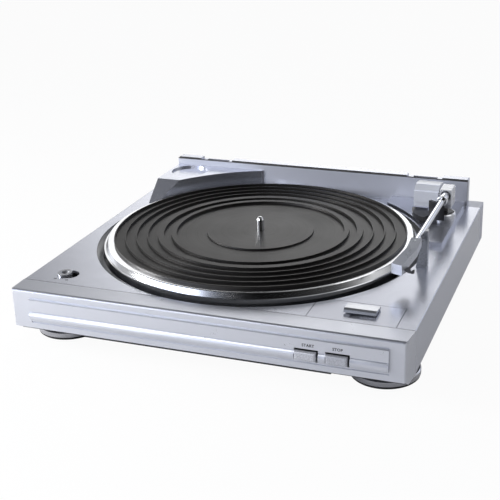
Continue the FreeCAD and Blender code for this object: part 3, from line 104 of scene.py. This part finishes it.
class Nodes:
    """Small helper to write a material's node tree in short lines."""

    def __init__(self, name):
        self.mat = bpy.data.materials.new(name)
        self.mat.use_nodes = True
        self.tree = self.mat.node_tree
        self.shader = self.tree.nodes["Principled BSDF"]
        self.coords = self.add("ShaderNodeTexCoord").outputs["Object"]

    def add(self, kind, **inputs):
        node = self.tree.nodes.new(kind)
        for key, value in inputs.items():
            self.put(node, key.replace("_", " "), value)
        return node

    def put(self, node, key, value):
        self.fill(node.inputs[key], value)

    def set(self, key, value):
        self.put(self.shader, key, value)

    def fill(self, socket, value):
        """Link an output to a socket, or give the socket a plain value or an opaque colour."""
        if hasattr(value, "links"):
            self.tree.links.new(value, socket)
        elif socket.type == "RGBA" and len(value) == 3:
            socket.default_value = (*value, 1.0)
        else:
            socket.default_value = value

    def part(self, axis):
        """One of the coordinates X, Y or Z."""
        return self.add("ShaderNodeSeparateXYZ", Vector=self.coords).outputs[axis]

    def turned(self, axis):
        """Coordinates that only know the distance from a vertical axis, and the height."""
        place = self.add("ShaderNodeMapping", Vector=self.coords)
        place.inputs["Location"].default_value = (-axis[0], -axis[1], 0.0)
        split = self.add("ShaderNodeSeparateXYZ", Vector=place.outputs["Vector"])
        squares = [self.math("POWER", split.outputs[key], 2.0) for key in ("X", "Y")]
        join = self.add("ShaderNodeCombineXYZ")
        self.put(join, "X", self.math("POWER", self.math("ADD", *squares), 0.5))
        self.put(join, "Z", split.outputs["Z"])
        return join.outputs["Vector"]

    def noise(self, scale, detail=4.0, rough=0.6, vector=None):
        node = self.add("ShaderNodeTexNoise", Vector=vector or self.coords, Scale=scale, Detail=detail)
        node.inputs["Roughness"].default_value = rough
        return node.outputs["Fac"]

    def remap(self, value, low, high, to_low, to_high):
        node = self.add("ShaderNodeMapRange", Value=value, From_Min=low, From_Max=high)
        node.inputs["To Min"].default_value = to_low
        node.inputs["To Max"].default_value = to_high
        return node.outputs["Result"]

    def blend(self, share, first, second):
        """Mix two colours. The numbered inputs are the colour sockets of the node."""
        node = self.tree.nodes.new("ShaderNodeMix")
        node.data_type = "RGBA"
        self.put(node, "Factor", share)
        self.fill(node.inputs[6], first)
        self.fill(node.inputs[7], second)
        return node.outputs[2]

    def math(self, operation, first, second):
        node = self.tree.nodes.new("ShaderNodeMath")
        node.operation = operation
        self.fill(node.inputs[0], first)
        self.fill(node.inputs[1], second)
        return node.outputs[0]

    def bump(self, height, strength, distance):
        node = self.add("ShaderNodeBump", Height=height, Strength=strength, Distance=distance)
        return node.outputs["Normal"]

    def cloudy(self, colour, scale, dark, light):
        """Faint cloudiness: the colour wanders between two shades."""
        return self.blend(self.noise(scale, 3.0), times(colour, dark), times(colour, light))

    def uneven(self, fine, rough):
        """Gloss that wanders a little round its value, with the grain and in larger patches."""
        patches = self.math("ADD", self.noise(60.0, 5.0), self.math("MULTIPLY", fine, 0.5))
        return self.remap(patches, 0.4, 1.1, rough * 0.88, rough * 1.12)


def moulded(name, colour, rough, metallic=0.0, grain=GRAIN_SCALE, grain_depth=GRAIN_DEPTH, tone=0.05):
    """Moulded or painted surface: fine grain, faint cloudiness and uneven gloss."""
    n = Nodes(name)
    n.set("Base Color", n.cloudy(colour, 14.0, 1.0 - tone, 1.0 + tone))
    n.set("Metallic", metallic)
    fine = n.noise(grain, 2.0)
    n.set("Roughness", n.uneven(fine, rough))
    n.set("Normal", n.bump(fine, grain_depth, GRAIN_HEIGHT))
    return n.mat


def metal(name, colour, rough, scratch=0.10):
    """Bare metal with fine scratches."""
    n = Nodes(name)
    lines = n.noise(900.0, 3.0, 0.7)
    n.set("Base Color", n.blend(n.noise(30.0), times(colour, 0.94), colour))
    n.set("Metallic", 1.0)
    n.set("Roughness", n.remap(lines, 0.3, 0.7, rough * 0.8, rough * 1.25))
    n.set("Normal", n.bump(lines, scratch, 0.00004))
    return n.mat


def turned_metal(name, colour, rough, axis):
    """Metal turned on a lathe: rings about a vertical axis."""
    n = Nodes(name)
    lines = n.noise(3500.0, 2.0, 0.6, n.turned(axis))
    n.set("Base Color", n.blend(n.noise(25.0), times(colour, 0.95), colour))
    n.set("Metallic", 1.0)
    n.set("Roughness", n.remap(lines, 0.3, 0.7, rough * 0.75, rough * 1.3))
    n.set("Normal", n.bump(lines, 0.08, 0.00003))
    return n.mat


def rubber(name, colour, rough, axis):
    """Dark rubber with fine turned lines about a vertical axis and a dusty, uneven sheen."""
    n = Nodes(name)
    lines = n.noise(2600.0, 2.0, 0.6, n.turned(axis))
    cloud = n.noise(22.0, 4.0)
    sheen = n.math("ADD", lines, n.math("MULTIPLY", cloud, 0.6))
    grain = n.math("ADD", lines, n.math("MULTIPLY", n.noise(1500.0, 2.0), 0.5))
    n.set("Base Color", n.blend(cloud, times(colour, 0.8), times(colour, 1.3)))
    n.set("Roughness", n.remap(sheen, 0.5, 1.1, rough * 0.85, rough * 1.15))
    n.set("Specular Tint", (1.0, 0.975, 0.955))
    n.set("Normal", n.bump(grain, 0.35, 0.00004))
    return n.mat


def silver_and_black_side(name, silver, rough, metallic, limit, dark_behind):
    """Silver paint on one side of an upright plane across the deck and matt black on the other. On the
    buttons the black, behind the face, is painted shade in the gap round them; on the hinge rail the front
    is black.
    """
    n = Nodes(name)
    ends = (0.0, 1.0) if dark_behind else (1.0, 0.0)
    dark = n.remap(n.part("Y"), limit - MASK_BLUR, limit + MASK_BLUR, *ends)
    n.set("Base Color", n.blend(dark, n.cloudy(silver, 40.0, 0.97, 1.03), BLACK))
    n.set("Metallic", n.remap(dark, 0.0, 1.0, metallic, 0.0))
    fine = n.noise(GRAIN_SCALE, 2.0)
    gloss = n.remap(fine, 0.3, 0.7, rough * 0.9, rough * 1.1)
    n.set("Roughness", n.math("ADD", gloss, n.math("MULTIPLY", dark, 0.3)))
    n.set("Normal", n.bump(fine, GRAIN_DEPTH, GRAIN_HEIGHT))
    return n.mat


def cover_paint(name, colour, rough, metallic, wall_metallic):
    """Silver paint of the top. The rear wall is rougher and its upper edge is black."""
    n = Nodes(name)
    behind = n.remap(n.part("Y"), REAR_WALL - 0.001, REAR_WALL + 0.0005, 0.0, 1.0)
    high = n.remap(n.part("Z"), REAR_WALL_EDGE - MASK_BLUR, REAR_WALL_EDGE + MASK_BLUR, 0.0, 1.0)
    edge = n.math("MULTIPLY", behind, high)
    silver = n.blend(behind, n.cloudy(colour, 14.0, 0.97, 1.03), colour)
    n.set("Base Color", n.blend(edge, silver, EDGE_BLACK))
    n.set("Metallic", n.math("SUBTRACT", n.remap(behind, 0.0, 1.0, metallic, wall_metallic), edge))
    fine = n.noise(GRAIN_SCALE, 2.0)
    n.set("Roughness", n.math("ADD", n.uneven(fine, rough), n.math("MULTIPLY", behind, 0.20)))
    n.set("Normal", n.bump(fine, GRAIN_DEPTH, GRAIN_HEIGHT))
    return n.mat


def fascia_paint(name, front, top, rough, metallic):
    """Silver paint of the front piece. Its narrow upper face is a little darker: painted shade."""
    n = Nodes(name)
    # Painted shade: the upper face takes the darker colour given as top.
    upper = n.remap(n.part("Z"), FASCIA_EDGE - 0.0003, FASCIA_EDGE, 0.0, 1.0)
    n.set("Base Color", n.blend(upper, n.cloudy(front, 14.0, 0.97, 1.03), top))
    n.set("Metallic", metallic)
    fine = n.noise(GRAIN_SCALE, 2.0)
    n.set("Roughness", n.uneven(fine, rough))
    n.set("Normal", n.bump(fine, GRAIN_DEPTH, GRAIN_HEIGHT))
    return n.mat


cover_silver = (0.59, 0.607, 0.675)
slot_paints = {
    "silver_cover": cover_paint("silver_cover", cover_silver, 0.23, 0.78, 0.55),
    "silver_button": moulded("silver_button", (0.41, 0.42, 0.45), 0.26, 0.72, tone=0.02),
    "dark_dish": moulded("dark_dish", (0.12, 0.122, 0.13), 0.34, tone=0.10),
    "cast_platter": turned_metal("cast_platter", (0.78, 0.79, 0.81), 0.15, PLATTER_AXIS),
    "platter_rubber": rubber("platter_rubber", (0.0055, 0.0050, 0.0047), 0.42, PLATTER_AXIS),
    "bright_chrome": metal("bright_chrome", (0.80, 0.81, 0.83), 0.10, 0.03),
    "arm_silver": moulded("arm_silver", (0.62, 0.63, 0.66), 0.24, 0.75, tone=0.02),
    "black_plastic": moulded("black_plastic", (0.018, 0.018, 0.02), 0.34, tone=0.15),
    "soft_rubber": moulded("soft_rubber", (0.02, 0.02, 0.02), 0.62, 0.0, 1500.0, 0.4, 0.15),
    "plain_steel": metal("plain_steel", (0.55, 0.55, 0.56), 0.30),
    "oiled_brass": metal("oiled_brass", (0.66, 0.50, 0.24), 0.26),
    "white_gear": moulded("white_gear", (0.78, 0.76, 0.70), 0.42),
    "board_green": moulded("board_green", (0.05, 0.22, 0.09), 0.30, tone=0.15),
    "winding_tape": moulded("winding_tape", (0.60, 0.45, 0.10), 0.45, tone=0.15),
    "tray_black": moulded("tray_black", (0.03, 0.03, 0.033), 0.50, 0.0, 1400.0, 0.35, 0.1),
}
node_paints = {
    # The second colour is the darker one of the front piece's upper face, painted shade.
    "front_fascia": fascia_paint("fascia_silver", (0.65, 0.665, 0.715), (0.53, 0.545, 0.60), 0.30, 0.72),
    "counterweight": moulded("weight_silver", (0.80, 0.82, 0.88), 0.30, 0.20, tone=0.02),
    "headshell": moulded("head_silver", (0.58, 0.60, 0.65), 0.28, 0.48, tone=0.02),
    "pivot_housing": moulded("housing_silver", (0.66, 0.67, 0.70), 0.28, 0.45, tone=0.02),
    "arm_rest": moulded("rest_grey", (0.27, 0.28, 0.30), 0.28, 0.55, tone=0.03),
    "foot_bodies": moulded("foot_black", (0.012, 0.012, 0.013), 0.40, tone=0.10),
    "foot_rings": moulded("foot_silver", (0.46, 0.46, 0.48), 0.17, 0.85, tone=0.05),
    "foot_pads": moulded("pad_black", (0.006, 0.006, 0.006), 0.70, tone=0.10),
    # The black behind the button faces is painted shade in the gaps round the buttons.
    "start_button": silver_and_black_side("button_start", (0.58, 0.59, 0.63), 0.28, 0.45, BUTTON_FACE, True),
    "stop_button": silver_and_black_side("button_stop", (0.50, 0.51, 0.55), 0.28, 0.45, BUTTON_FACE, True),
    "hinge_rail": silver_and_black_side("rail_paint", cover_silver, 0.26, 0.70, RAIL_FRONT, False),
}
for entry in record["subparts"]:
    node = nodes[entry["node"]]
    node.data.materials.clear()
    node.data.materials.append(node_paints.get(entry["node"]) or slot_paints[entry["material_slot"]])


# Pieces made here

ink = moulded("grey_ink", (0.012, 0.012, 0.014), 0.75, tone=0.20)
# Black plates in the engraved field lines and the seam: painted shade in the grooves.
painted_groove_shade = moulded("painted_groove_shade", (0.006, 0.006, 0.007), 0.80, tone=0.20)


def printed(name, words, height, place, upright, carrier):
    """Thin printed word: lies on the top or stands on the front of a CAD node."""
    curve = bpy.data.curves.new(name, "FONT")
    curve.body = words
    curve.size = height / CAPITAL_SHARE
    curve.align_x = "CENTER"
    curve.extrude = INK_THICKNESS
    curve.offset = STROKE_GROWTH
    curve.resolution_u = 4
    curve.space_character = 1.06
    curve.materials.append(ink)
    item = bpy.data.objects.new(name, curve)
    bpy.context.scene.collection.objects.link(item)
    x, y, z = place
    if upright:
        start, toward = Vector((x, -RAY_START, z)), Vector((0.0, 1.0, 0.0))
    else:
        start, toward = Vector((x, y, RAY_START)), Vector((0.0, 0.0, -1.0))
    base = nodes[carrier]
    into = base.matrix_world.inverted()
    hit, point, normal, face = base.ray_cast(into @ start, into.to_3x3() @ toward)
    shift = Vector((0.0, 0.0, -height / 2.0)) if upright else Vector((0.0, -height / 2.0, 0.0))
    item.location = base.matrix_world @ point + shift
    item.rotation_euler = (math.pi / 2.0, 0.0, 0.0) if upright else (0.0, 0.0, 0.0)
    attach(item, "plinth_body")


def thin_plates(name, boxes, material):
    """One piece made of thin plates on the plinth, each given by its x, y and z limits."""
    form = bmesh.new()
    for x, y, z in boxes:
        at = [form.verts.new((x[i], y[j], z[k])) for k in (0, 1) for j in (0, 1) for i in (0, 1)]
        for face in ((0, 2, 3, 1), (4, 5, 7, 6), (0, 1, 5, 4), (2, 6, 7, 3), (0, 4, 6, 2), (1, 3, 7, 5)):
            form.faces.new([at[i] for i in face])
    mesh = bpy.data.meshes.new(name)
    form.to_mesh(mesh)
    form.free()
    mesh.materials.append(material)
    item = bpy.data.objects.new(name, mesh)
    bpy.context.scene.collection.objects.link(item)
    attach(item, "plinth_body")


def about(middle, width):
    return (middle - width / 2.0, middle + width / 2.0)


for name, words, x in (("word_start", "START", 0.0987), ("word_stop", "STOP", 0.1234)):
    printed(name, words, WORD_HEIGHT, (x, 0.0, WORD_LEVEL), True, "front_fascia")
for number, x in (("33", -0.1530), ("45", -0.1415)):
    printed("number_" + number, number, NUMBER_HEIGHT, (x, NUMBER_ROW, 0.0), False, "top_cover")

line_z = (LINE_FLOOR, LINE_TOP)
back_line = ((FIELD_CORNER[0], FIELD_RIGHT - LINE_LAP), about(FIELD_BACK, LINE_WIDTH), line_z)
left_line = (about(FIELD_LEFT, LINE_WIDTH), (FIELD_FRONT, FIELD_CORNER[1]), line_z)
right_line = (about(FIELD_RIGHT, LINE_WIDTH), (FIELD_FRONT, FIELD_BACK + RIGHT_LINE_OVERRUN), line_z)
seam = ((-SEAM_HALF_LENGTH, SEAM_HALF_LENGTH), (SEAM_FRONT, SEAM_BACK), (SEAM_FLOOR, SEAM_TOP))
thin_plates("field_lines", [back_line, left_line, right_line], painted_groove_shade)
thin_plates("seam_line", [seam], painted_groove_shade)


# Floor, light and camera

def make_floor(half_size, seen_white, mirrored_white):
    """White floor: plain matt paint that the camera sees a little brighter, with the shadow kept."""
    mesh = bpy.data.meshes.new("floor")
    form = bmesh.new()
    bmesh.ops.create_grid(form, x_segments=1, y_segments=1, size=half_size)
    form.to_mesh(mesh)
    form.free()
    floor = bpy.data.objects.new("floor", mesh)
    bpy.context.scene.collection.objects.link(floor)
    n = Nodes("floor_white")
    n.set("Base Color", (0.90, 0.90, 0.91))
    n.set("Roughness", n.remap(n.noise(3.0), 0.3, 0.7, 0.85, 0.95))
    white = n.add("ShaderNodeEmission", Color=(1.0, 1.0, 1.0), Strength=1.0)
    path = n.add("ShaderNodeLightPath").outputs
    seen = n.math("MULTIPLY", path["Is Camera Ray"], seen_white)
    mirrored = n.math("MULTIPLY", path["Is Glossy Ray"], mirrored_white)
    mix = n.tree.nodes.new("ShaderNodeMixShader")
    n.fill(mix.inputs["Fac"], n.math("ADD", seen, mirrored))
    n.fill(mix.inputs[1], n.shader.outputs[0])
    n.fill(mix.inputs[2], white.outputs[0])
    n.fill(n.tree.nodes["Material Output"].inputs["Surface"], mix.outputs[0])
    floor.data.materials.append(n.mat)


def bearing(azimuth, elevation):
    """Unit vector: azimuth 0 is straight behind the deck and grows to its right."""
    a, e = math.radians(azimuth), math.radians(elevation)
    return Vector((math.sin(a) * math.cos(e), math.cos(a) * math.cos(e), math.sin(e)))


def make_world(glows):
    """Studio round the deck: soft glows that add up. The camera itself sees plain white."""
    world = bpy.data.worlds.new("studio")
    bpy.context.scene.world = world
    world.use_nodes = True
    tree = world.node_tree
    tree.nodes.clear()

    def add(kind, operation=None, **values):
        node = tree.nodes.new(kind)
        if operation:
            node.operation = operation
        for key, value in values.items():
            socket = node.inputs[int(key[1:])]
            if hasattr(value, "links"):
                tree.links.new(value, socket)
            else:
                socket.default_value = value
        return node.outputs

    coords = add("ShaderNodeTexCoord")["Generated"]
    total = (0.0, 0.0, 0.0)
    for azimuth, elevation, width, brightness, tint in glows:
        sharp = 1.0 / (1.0 - math.cos(math.radians(width)))
        near = add("ShaderNodeVectorMath", "DOT_PRODUCT", _0=coords, _1=bearing(azimuth, elevation))["Value"]
        fall = add("ShaderNodeMath", "MULTIPLY_ADD", _0=near, _1=sharp, _2=-sharp)[0]
        glow = add("ShaderNodeMath", "EXPONENT", _0=fall)[0]
        colour = tuple(brightness * c for c in tint)
        total = add("ShaderNodeVectorMath", "MULTIPLY_ADD", _0=colour, _1=glow, _2=total)[0]
    soft = add("ShaderNodeBackground", _0=total, _1=1.0)[0]
    plain = add("ShaderNodeBackground", _0=(1.0, 1.0, 1.0, 1.0), _1=1.0)[0]
    seen = add("ShaderNodeLightPath")["Is Camera Ray"]
    mix = add("ShaderNodeMixShader", _0=seen, _1=soft, _2=plain)[0]
    add("ShaderNodeOutputWorld", _0=mix)


def soft_box(name, place, target, size, watts):
    lamp = bpy.data.lights.new(name, "AREA")
    lamp.shape = "RECTANGLE"
    lamp.size, lamp.size_y = size
    lamp.energy = watts
    item = bpy.data.objects.new(name, lamp)
    bpy.context.scene.collection.objects.link(item)
    item.location = place
    item.rotation_euler = (Vector(target) - Vector(place)).to_track_quat("-Z", "Y").to_euler()


def make_camera(azimuth, elevation, roll, distance, target, lens, sensor=36.0):
    """Camera on a sphere round its target: azimuth 0 is in front, and grows to the deck's right."""
    a, e, r = math.radians(azimuth), math.radians(elevation), math.radians(roll)
    back = Vector((math.sin(a) * math.cos(e), -math.cos(a) * math.cos(e), math.sin(e)))
    right = Vector((math.cos(a), math.sin(a), 0.0))
    up = Vector((-math.sin(a) * math.sin(e), math.cos(a) * math.sin(e), math.cos(e)))
    side = right * math.cos(r) + up * math.sin(r)
    top = up * math.cos(r) - right * math.sin(r)
    data = bpy.data.cameras.new("camera")
    data.sensor_width = sensor
    data.lens = lens
    data.clip_end = 50.0
    camera = bpy.data.objects.new("camera", data)
    turn = Matrix((side, top, back)).transposed().to_4x4()
    camera.matrix_world = Matrix.Translation(Vector(target) + back * distance) @ turn
    bpy.context.scene.collection.objects.link(camera)
    bpy.context.scene.camera = camera


plain = (1.0, 1.0, 1.0)
cool = (0.93, 0.97, 1.10)
cold = (0.86, 0.95, 1.19)

# Azimuth, elevation and width in degrees, brightness, tint
behind_glows = (
    (-16.0, 13.0, 7.5, 2.60, plain),
    (-7.0, 13.0, 7.5, 1.35, plain),
    (-26.0, 21.0, 6.5, 1.80, plain),
    (-10.0, 24.5, 5.0, 1.10, plain),
    (-20.0, 26.0, 4.5, 0.35, plain),
    (4.0, 29.0, 7.5, 0.75, cool),
    (4.0, 2.0, 8.0, 0.75, plain),
    (-24.0, 3.0, 8.0, 1.00, plain),
)
side_glows = (
    (30.0, 18.0, 18.0, 1.50, cool),
    (70.0, 18.0, 18.0, 1.00, plain),
    (100.0, 52.0, 22.0, 0.60, plain),
    (-68.0, 18.0, 18.0, 2.25, plain),
)
front_glows = (
    (-135.0, 18.0, 18.0, 2.20, cold),
    (-148.5, 6.0, 9.0, 4.70, cool),
    (-120.0, 6.0, 9.0, 1.90, cool),
)

make_floor(6.0, seen_white=0.95, mirrored_white=0.10)
make_world(behind_glows + side_glows + front_glows)
soft_box("left_lamp", (-0.95, -0.35, 0.35), (0.0, -0.15, 0.03), (0.30, 0.30), 10.5)
soft_box("floor_lamp", (-0.15, -0.46, 0.28), (-0.13, -0.28, 0.0), (0.36, 0.12), 0.40)
soft_box("right_lamp", (0.50, 0.10, 0.45), (0.48, 0.10, 0.0), (0.25, 0.60), 0.6)

# Fitted to the photograph: the lens is 1054.18 pixels long on a picture 500 pixels wide
make_camera(21.47, 21.52, -1.75, 1.00713, (-0.00846, -0.025815, TOP), lens=1054.18 / 500.0 * 36.0)

bpy.context.scene.view_settings.view_transform = "Standard"
